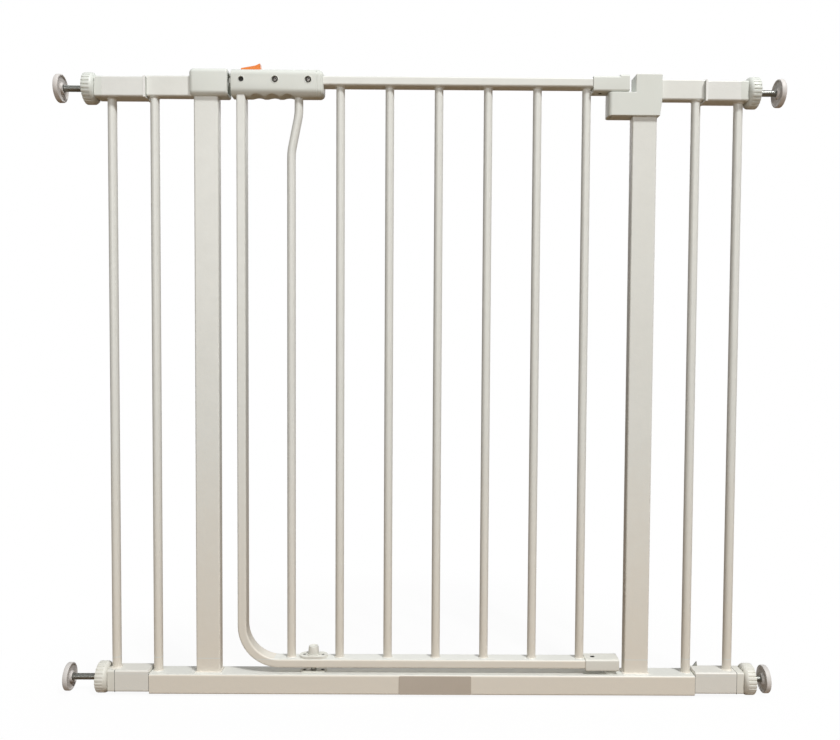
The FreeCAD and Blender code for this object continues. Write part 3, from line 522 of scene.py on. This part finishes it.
low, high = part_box("latch_keeper")
mesh = block(low, high)
along_x(mesh, 6.0, 8)
left, right = x_limits(mesh)
round_edges(mesh, lambda co: co.x < left + 0.01 * MM, 5.4, 8)
round_edges(mesh, lambda co: co.x > right - 0.01 * MM, 2.2, 5)
keeper = make("keeper_cap", mesh, white_plastic, ["latch_keeper"])
pocket = block((high.x - 9 * MM, -9 * MM, low.z + 3 * MM), (high.x + MM, 9 * MM, high.z - 5 * MM))
carve(keeper, [pocket])
print("t", time.time() - T0)
print("keeper:", len(keeper.data.polygons), "faces")

# %% [markdown]
# The handle is two moulded shells screwed together round the gate's top rail. The outside starts as
# a rounded block. Two grooves near its right end are rings of points pulled inwards, and three
# round cutters take out the finger grips underneath. Then come the screw cups, the window for the
# lock bolt and the slot for the button's stem.

# %% Handle
GRIP_RADIUS = 12.2
GRIP_DEPTH = 3.0


def y_cylinder(radius, x, z, y_low, y_high, steps=40):
    length = (y_high - y_low) / MM
    return turned([(0, 0), (radius, 0), (radius, length), (0, length)], (x, y_low, z), (0, 1, 0), steps)


front_low, front_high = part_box("handle_front_shell")
rear_low, rear_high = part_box("handle_rear_shell")
low = Vector((front_low.x, front_low.y, front_low.z))
high = Vector((front_high.x, rear_high.y, front_high.z))
screw_low, screw_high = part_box("handle_screws")
screw_z = (screw_low.z + screw_high.z) / 2
first_screw = screw_low.x + 3.4 * MM
second_screw = screw_high.x - 3.4 * MM
spare_hole = first_screw - 40.8 * MM
button_low, button_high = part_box("latch_button")
lock_low, lock_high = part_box("lock_bolt")


mesh = block(low, high)
along_x(mesh, 9.0, 10)
left, right = x_limits(mesh)
round_edges(mesh, lambda co: co.x > right - 0.01 * MM, 5.5, 8)
round_edges(mesh, lambda co: co.x < left + 0.01 * MM, 0.9, 3)
centre = (low + high) / 2
grooves = []
for groove in (7.9, 3.9):
    for offset in (0.45, 0.0, -0.45):
        whole = list(mesh.verts) + list(mesh.edges) + list(mesh.faces)
        cut = bmesh.ops.bisect_plane(mesh, geom=whole, plane_co=(high.x - (groove + offset) * MM, 0, 0),
                                     plane_no=(1, 0, 0))
        if offset == 0.0:
            grooves += [vert for vert in cut["geom_cut"] if isinstance(vert, bmesh.types.BMVert)]
for vert in grooves:
    vert.co.y = centre.y + (vert.co.y - centre.y) * 0.965
    vert.co.z = centre.z + (vert.co.z - centre.z) * 0.972
for vert in mesh.verts:
    if vert.co.x > high.x - 8.6 * MM:
        above = max(0.0, vert.co.z - centre.z) / (high.z - centre.z)
        vert.co.x -= 2.2 * MM * above ** 4
handle = make("handle", mesh, white_plastic, ["handle_front_shell", "handle_rear_shell"])
rail_low, rail_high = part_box("gate_top_rail")
cutters = [y_cylinder(GRIP_RADIUS, first_screw + grip * MM, low.z + (GRIP_DEPTH - GRIP_RADIUS) * MM,
                      low.y - MM, high.y + MM, 96) for grip in (-22.8, -3.8, 14.9)]
cutters.append(block((low.x + 2.2 * MM, rail_low.y - 0.1 * MM, rail_low.z - 0.1 * MM),
                     (high.x - 12 * MM, rail_high.y + 0.1 * MM, rail_high.z + 0.1 * MM)))
cutters.append(block((low.x - MM, lock_low.y - 0.3 * MM, lock_low.z - 0.3 * MM),
                     (low.x + 3 * MM, lock_high.y + 0.3 * MM, lock_high.z + 0.3 * MM)))
stem = (button_low.x + button_high.x) / 2
cutters.append(block((stem - 8.4 * MM, -2.7 * MM, rail_high.z - MM), (stem + 7.4 * MM, 2.7 * MM, high.z + MM)))
cutters.append(y_cylinder(3.2, spare_hole, screw_z, low.y - MM, rail_low.y + MM))
cutters += [y_cylinder(3.95, place, screw_z, low.y - MM, low.y + 2.1 * MM) for place in (first_screw, second_screw)]
for edge_z in (low.z, high.z):
    cutters.append(block((low.x - MM, -0.14 * MM, edge_z - 0.4 * MM), (high.x + MM, 0.14 * MM, edge_z + 0.4 * MM)))
carve(handle, cutters)
print("t", time.time() - T0)
print("handle:", len(handle.data.polygons), "faces, height",
      round((max(v.co.z for v in handle.data.vertices) - min(v.co.z for v in handle.data.vertices)) / MM, 1))


def moulded_rim(name, x, radius):
    ring = [(radius + 0.02, -0.5), (radius + 0.05, 0.12), (radius + 0.3, 0.3), (radius + 0.65, 0.3), (radius + 1.0, -0.05),
            (radius + 1.0, -0.5)]
    mesh = turned(ring + ring[:1], (x, low.y, screw_z), (0, -1, 0), 48)
    return make(name, mesh, white_plastic, rides_with="handle_front_shell", sharp=50)


# A black disc deep in the empty spare screw hole is painted shade.
plug = turned([(0, 0), (3.15, 0), (3.15, 1.0), (2.2, 1.0), (2.0, 0.6), (0, 0.6)], (spare_hole, low.y + 3.4 * MM, screw_z), (0, -1, 0), 40)
make("spare_hole_shade_disc", plug, shade_black, rides_with="handle_front_shell")
moulded_rim("rim_of_spare_hole", spare_hole, 3.2)
moulded_rim("rim_of_first_screw", first_screw, 3.95)
moulded_rim("rim_of_second_screw", second_screw, 3.95)

# %% [markdown]
# Screws with a cross recess hold the handle, the hinge caps and the two bolt plates. The head is
# turned with a low dome, and two crossed wedges are carved out of it.

# %% Screws
def cross_screw(name, node, place, axis, head_radius, head_height, shank_radius, length, material):
    outline = [(0, -length), (shank_radius * 0.6, -length), (shank_radius, -length + shank_radius),
               (shank_radius, 0.0), (head_radius, 0.0), (head_radius, head_height * 0.45),
               (head_radius * 0.93, head_height * 0.7), (head_radius * 0.7, head_height * 0.93),
               (head_radius * 0.35, head_height), (0, head_height)]
    mesh = turned(outline, place, axis, 40)
    screw = make(name, mesh, material, rides_with=node, sharp=40)
    cutters = []
    for turn in (0, math.pi / 2):
        arm = bmesh.new()
        bmesh.ops.create_cube(arm, size=1.0)
        bmesh.ops.scale(arm, vec=(head_height * 1.5 * MM, head_radius * 1.25 * MM, head_radius * 0.27 * MM),
                        verts=arm.verts)
        bmesh.ops.rotate(arm, cent=(0, 0, 0), matrix=Matrix.Rotation(turn + 0.5, 3, "X"), verts=arm.verts)
        bmesh.ops.translate(arm, vec=(head_height * MM, 0, 0), verts=arm.verts)
        aim(arm, place, axis)
        cutters.append(arm)
    return carve(screw, cutters)


def stand_for(piece, node):
    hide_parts(node)
    return piece


head_front = low.y + 2.0 * MM
for number, place in enumerate((first_screw, second_screw)):
    screw = cross_screw("handle_screw_%d" % (number + 1), "handle_screws", (place, head_front, screw_z), (0, -1, 0),
                        3.35, 1.6, 1.75, 20.0, screw_steel)
    stand_for(screw, "handle_screws")

# %% [markdown]
# The remaining moulded fittings keep the shape of the engineering parts, but no moulded edge is
# razor sharp. Each gets a copy of its mesh with the flat faces merged, and a Bevel modifier then
# breaks the real edges.

# %% Softened fittings
def softened(node, width, name=None):
    mesh = bmesh.new()
    mesh.from_mesh(nodes[node].data)
    bmesh.ops.remove_doubles(mesh, verts=mesh.verts, dist=0.002 * MM)
    bmesh.ops.dissolve_limit(mesh, angle_limit=math.radians(1.0), verts=mesh.verts, edges=mesh.edges)
    return make(name or "soft_" + node, mesh, finishes[slot_of[node]], [node], bevel_width=width)


for node, width in (("upper_hinge_bracket", 0.9), ("upper_hinge_cap", 0.6), ("lower_hinge_cap", 0.6),
                    ("bolt_housing", 0.5), ("strike_plate", 0.3), ("name_plate", 0.3), ("lock_bolt", 0.5)):
    softened(node, width)
for corner in CORNERS:
    softened(corner + "_end_plug", 0.5)
print("softened fittings")

# %% [markdown]
# The latch button is a thin wedge that rises towards the right with a hollow in its slope, so a
# thumb can push it. It is a flat outline extruded sideways, and its stem goes down to the bolt.

# %% Latch button
def slab(outline, y_low, y_high):
    """A flat outline in (x, z), extruded along Y."""
    mesh = bmesh.new()
    ring = [mesh.verts.new((x, y_low, z)) for x, z in outline]
    rim = [mesh.edges.new(pair) for pair in zip(ring, ring[1:] + ring[:1])]
    face = bmesh.ops.edgeloop_fill(mesh, edges=rim)["faces"]
    moved = bmesh.ops.extrude_face_region(mesh, geom=face)["geom"]
    bmesh.ops.translate(mesh, vec=(0, y_high - y_low, 0),
                        verts=[item for item in moved if isinstance(item, bmesh.types.BMVert)])
    return mesh


def join(mesh, other):
    """Adds a second mesh to a first one."""
    data = bpy.data.meshes.new("joined")
    other.to_mesh(data)
    other.free()
    mesh.from_mesh(data)
    bpy.data.meshes.remove(data)


low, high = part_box("latch_button")
base = front_high.z + 0.3 * MM
slope = [(0.0, 0.0), (23.4, 0.0), (23.2, 7.5), (17.6, 4.9), (0.0, 1.7)]
mesh = slab([(low.x + x * MM, base + z * MM) for x, z in slope], low.y + 2 * MM, high.y - 2 * MM)
lock_low, lock_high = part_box("lock_bolt")
join(mesh, block((stem + 1.0 * MM, -2.3 * MM, lock_high.z), (stem + 7.0 * MM, 2.3 * MM, base + MM)))
make("wedge_button", mesh, orange_plastic, ["latch_button"], bevel_width=0.35)
print("latch button done")

# %% [markdown]
# The bolt knob is turned: it tapers upwards and has a hollow top with a rounded lip.

# %% Bolt knob and screws
low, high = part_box("bolt_knob")
tall = (high.z - low.z) / MM
outline = [(0, 0), (6.75, 0), (6.82, 0.3), (5.95, tall - 0.9), (5.75, tall - 0.3), (5.3, tall), (4.9, tall - 0.15),
           (3.6, tall - 1.1), (1.8, tall - 1.7), (0, tall - 1.9)]
knob = make("turned_knob", turned(outline, (middle("bolt_knob").x, 0, low.z), (0, 0, 1), 56), white_plastic,
            ["bolt_knob"], sharp=35)

low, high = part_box("hinge_cap_screws")
x = (low.x + high.x) / 2
upper = cross_screw("cap_screw_above", "hinge_cap_screws", (x, 0, low.z + 5.2 * MM), (0, 0, 1), 3.0, 1.4, 1.6, 5.2, black_steel)
below = cross_screw("cap_screw_below", "hinge_cap_screws", (x, 0, high.z - 5.2 * MM), (0, 0, -1), 3.0, 1.4, 1.6, 5.2, black_steel)
for screw in (upper, below):
    stand_for(screw, "hinge_cap_screws")
for node in ("bolt_housing_screws", "strike_plate_screws"):
    low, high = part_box(node)
    for number, x in enumerate((low.x + 2.3 * MM, high.x - 2.3 * MM)):
        place = (x, 0, high.z - 0.8 * MM)
        screw = cross_screw("%s_%d" % (node[:-1], number + 1), node, place, (0, 0, 1), 2.3, 0.8, 1.4, 7.0, black_steel)
        stand_for(screw, node)
print("knob and screws done")

# %% [markdown]
# The sleeves meet the frame at four joints. The upper ones are closed by a moulded lip that stands
# a little proud of the tubes. In each lower one a thin black ring is painted shade in the gap, and a
# second thin black ring round the outer end of each lower sleeve is painted shadow and dirt in the
# seam to its end plug. All are rectangular rings: the end faces of a block are inset and cleared,
# and the two openings are bridged.

# %% Joint lips and shade rings
def ring_block(low, high, wall):
    mesh = block(low, high)
    ends = [face for face in mesh.faces if abs(face.normal.x) > 0.9]
    bmesh.ops.inset_individual(mesh, faces=ends, thickness=wall * MM, use_even_offset=True)
    bmesh.ops.delete(mesh, geom=ends, context="FACES_ONLY")
    rims = [edge for edge in mesh.edges if edge.is_boundary]
    bmesh.ops.bridge_loops(mesh, edges=rims)
    return mesh


for corner in CORNERS:
    low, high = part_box(corner + "_extension_tube")
    side = 1 if low.x > 0 else -1
    start = low.x if side > 0 else high.x
    if corner.startswith("upper"):
        ends = sorted((start - side * 0.95 * MM, start + side * 1.4 * MM))
        mesh = ring_block((ends[0], low.y - 0.5 * MM, low.z - 0.5 * MM),
                          (ends[1], high.y + 0.5 * MM, high.z + 0.5 * MM), 1.5)
        make(corner + "_joint_lip", mesh, lip_plastic, rides_with=corner + "_extension_tube", bevel_width=0.25)
    else:
        ends = sorted((start - side * 0.95 * MM, start - side * 0.05 * MM))
        rail_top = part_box("bottom_rail")[1].z
        # A black ring in the gap of each lower joint is painted shade.
        mesh = ring_block((ends[0], low.y + 0.3 * MM, low.z + 0.3 * MM),
                          (ends[1], high.y - 0.3 * MM, rail_top - 0.4 * MM), 1.5)
        make(corner + "_joint_seal", mesh, shade_black, rides_with=corner + "_extension_tube")
        # A thin black ring round the sleeve's end at its plug is painted shadow and dirt in the seam.
        end = high.x if side > 0 else low.x
        mesh = ring_block((end - 0.22 * MM, low.y - 0.03 * MM, low.z - 0.03 * MM),
                          (end + 0.22 * MM, high.y + 0.03 * MM, high.z + 0.03 * MM), 1.0)
        make(corner + "_plug_seam", mesh, shade_black, rides_with=corner + "_extension_tube")
print("joint lips and seals done")

# %% [markdown]
# Every bar and post is welded on. A weld is a small bead round the foot, a little lumpy where the
# torch stopped and started, and the paint flows over it. The beads are spun or bevelled rings, and
# a smooth noise moves their points outwards by a few tenths of a millimetre.

# %% Weld beads
def lumpy(mesh, amount, seed):
    mesh.normal_update()
    shifts = [vert.normal * noise.noise(vert.co * 420.0 + Vector((seed, 0, 0))) * amount * MM for vert in mesh.verts]
    for vert, shift in zip(mesh.verts, shifts):
        vert.co += shift


def round_bead(foot, radius, up, size, seed):
    outline = [(radius - 0.6, 0.0), (radius + size, 0.0), (radius + size * 0.82, size * 0.35),
               (radius + size * 0.42, size * 0.72), (radius + 0.12, size), (radius - 0.6, size)]
    mesh = turned(outline + outline[:1], foot, (0, 0, up), 36)
    lumpy(mesh, 0.3, seed)
    return mesh


def square_bead(low, high, foot_z, size, seed):
    mesh = block((low.x - size * MM, low.y - size * MM, foot_z - 0.2 * MM),
                 (high.x + size * MM, high.y + size * MM, foot_z + size * MM))
    for step in range(1, int((high.x - low.x) / MM / 1.3) + 1):
        whole = list(mesh.verts) + list(mesh.edges) + list(mesh.faces)
        bmesh.ops.bisect_plane(mesh, geom=whole, plane_co=(low.x + step * 1.3 * MM, 0, 0), plane_no=(1, 0, 0))
    top = [edge for edge in mesh.edges if all(vert.co.z > foot_z for vert in edge.verts)
           and len(edge.link_faces) == 2 and edge.calc_face_angle() > 1.0]
    bmesh.ops.bevel(mesh, geom=top, offset=size * 0.85 * MM, offset_type="OFFSET", segments=3, profile=0.5,
                    affect="EDGES", material=-1)
    lumpy(mesh, 0.35, seed)
    return mesh


frame_beads = bmesh.new()
gate_beads = bmesh.new()
bars = ["left_frame_bar", "right_frame_bar", "left_extension_bar", "right_extension_bar", "bent_gate_bar"]
bars += [name for name in sorted(nodes) if name.startswith("gate_bar_")]
for seed, name in enumerate(bars):
    low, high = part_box(name)
    beads = gate_beads if "gate" in name else frame_beads
    radius = (high.y - low.y) / 2
    foot_x, head_x = low.x + radius, high.x - radius
    join(beads, round_bead((foot_x, 0, low.z), radius / MM, 1, 1.3, seed * 3.7))
    if name != "bent_gate_bar":
        join(beads, round_bead((head_x, 0, high.z), radius / MM, -1, 1.5, seed * 5.3 + 40))
for seed, name in enumerate(("left_post", "right_post")):
    low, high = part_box(name)
    join(frame_beads, square_bead(low, high, low.z, 1.6, seed * 7.1 + 80))
make("frame_weld_beads", frame_beads, painted, rides_with="left_post", sharp=60)
make("gate_weld_beads", gate_beads, painted, rides_with="bent_gate_bar", sharp=60)
print("weld beads on", len(bars), "bars and two posts")

# %% [markdown]
# The studio is a pale floor and soft light. Large lamps above and in front give the upper faces a
# bright, even sheen, and the warm floor sends a little brown light up to the undersides. Camera
# rays see the floor and the world as nearly white, while the floor still keeps a faint shadow.

# %% Floor
def plane(name, size, height, material):
    mesh = bmesh.new()
    bmesh.ops.create_grid(mesh, x_segments=1, y_segments=1, size=size)
    bmesh.ops.translate(mesh, verts=mesh.verts, vec=(0, 0, height))
    data = bpy.data.meshes.new(name)
    mesh.to_mesh(data)
    mesh.free()
    data.materials.append(material)
    piece = bpy.data.objects.new(name, data)
    bpy.context.scene.collection.objects.link(piece)
    return piece


floor_paint = Finish("floor", Roughness=0.9, Specular_IOR_Level=0.0)
rays = floor_paint.add("LightPath", output="Is Camera Ray")
gloss_rays = floor_paint.add("LightPath", output="Is Glossy Ray")
floor_tone = floor_paint.blend(floor_paint.noise(3.0, 2.0) * 0.3, rgba(0.235, 0.16, 0.095), rgba(0.215, 0.15, 0.09))
floor_paint.feed(Base_Color=floor_paint.blend(rays, floor_tone, rgba(0.95, 0.95, 0.95)))
white = floor_paint.add("Emission", None, {"Color": rgba(1.0, 1.0, 1.0), "Strength": 1.0})
mixer = floor_paint.tree.nodes.new("ShaderNodeMixShader")
far = floor_paint.add("VectorMath", {"operation": "LENGTH"}, {0: floor_paint.place}, 1)
fade = floor_paint.add("MapRange", {"interpolation_type": "SMOOTHSTEP"},
                       {"Value": far, "From Min": 0.3, "From Max": 0.6, "To Min": 0.93, "To Max": 1.0})
floor_paint.tree.links.new((rays * fade + gloss_rays * 0.02).socket, mixer.inputs[0])
floor_paint.tree.links.new(floor_paint.shader.outputs[0], mixer.inputs[1])
floor_paint.tree.links.new(white.socket, mixer.inputs[2])
output = next(n for n in floor_paint.tree.nodes if n.type == "OUTPUT_MATERIAL")
floor_paint.tree.links.new(mixer.outputs[0], output.inputs["Surface"])
floor = plane("floor", 12.0, 0.0, floor_paint.material)

# %% [markdown]
# The world is white to the camera, dimmer in reflections, and gives little light of its own. A key lamp
# above and in front draws crisp shadows under the fittings, a wide lamp at eye height fills the
# fronts, and two weaker ones keep the tops and the back from going dark.

# %% World and lamps
world = bpy.data.worlds.new("studio")
bpy.context.scene.world = world
world.use_nodes = True
background = next(n for n in world.node_tree.nodes if n.type == "BACKGROUND")
path = world.node_tree.nodes.new("ShaderNodeLightPath")
see = world.node_tree.nodes.new("ShaderNodeMath")
see.operation = "MULTIPLY_ADD"
see.inputs[1].default_value = 0.24
world.node_tree.links.new(path.outputs["Is Glossy Ray"], see.inputs[0])
world.node_tree.links.new(path.outputs["Is Camera Ray"], see.inputs[2])
strength = world.node_tree.nodes.new("ShaderNodeMapRange")
strength.inputs["To Min"].default_value = 0.13
strength.inputs["To Max"].default_value = 1.0
world.node_tree.links.new(see.outputs[0], strength.inputs["Value"])
world.node_tree.links.new(strength.outputs[0], background.inputs["Strength"])
background.inputs["Color"].default_value = (1.0, 1.0, 1.0, 1.0)


def lamp(name, place, target, size, power, colour):
    data = bpy.data.lights.new(name, "AREA")
    data.shape = "RECTANGLE"
    data.size, data.size_y = size
    data.energy = power
    data.color = colour
    light = bpy.data.objects.new(name, data)
    direction = Vector(target) - Vector(place)
    light.matrix_world = Matrix.Translation(place) @ direction.to_track_quat("-Z", "Y").to_matrix().to_4x4()
    bpy.context.scene.collection.objects.link(light)
    return light


lamp("key_lamp", (1.57, -2.24, 4.22), (0.0, 0.0, 0.4), (0.7, 0.7), 172.0, (1.0, 1.0, 0.99))
lamp("top_lamp", (0.0, -0.2, 3.4), (0.0, 0.0, 0.5), (2.0, 1.6), 12.0, (1.0, 1.0, 0.99))
lamp("front_lamp", (-0.6, -4.2, 1.3), (0.0, 0.0, 0.45), (1.6, 1.4), 54.0, (1.0, 1.0, 0.99))
lamp("back_lamp", (0.0, 3.4, 2.2), (0.0, 0.0, 0.5), (1.8, 1.8), 18.0, (1.0, 1.0, 0.99))
scene = bpy.context.scene
scene.view_settings.view_transform = "Standard"
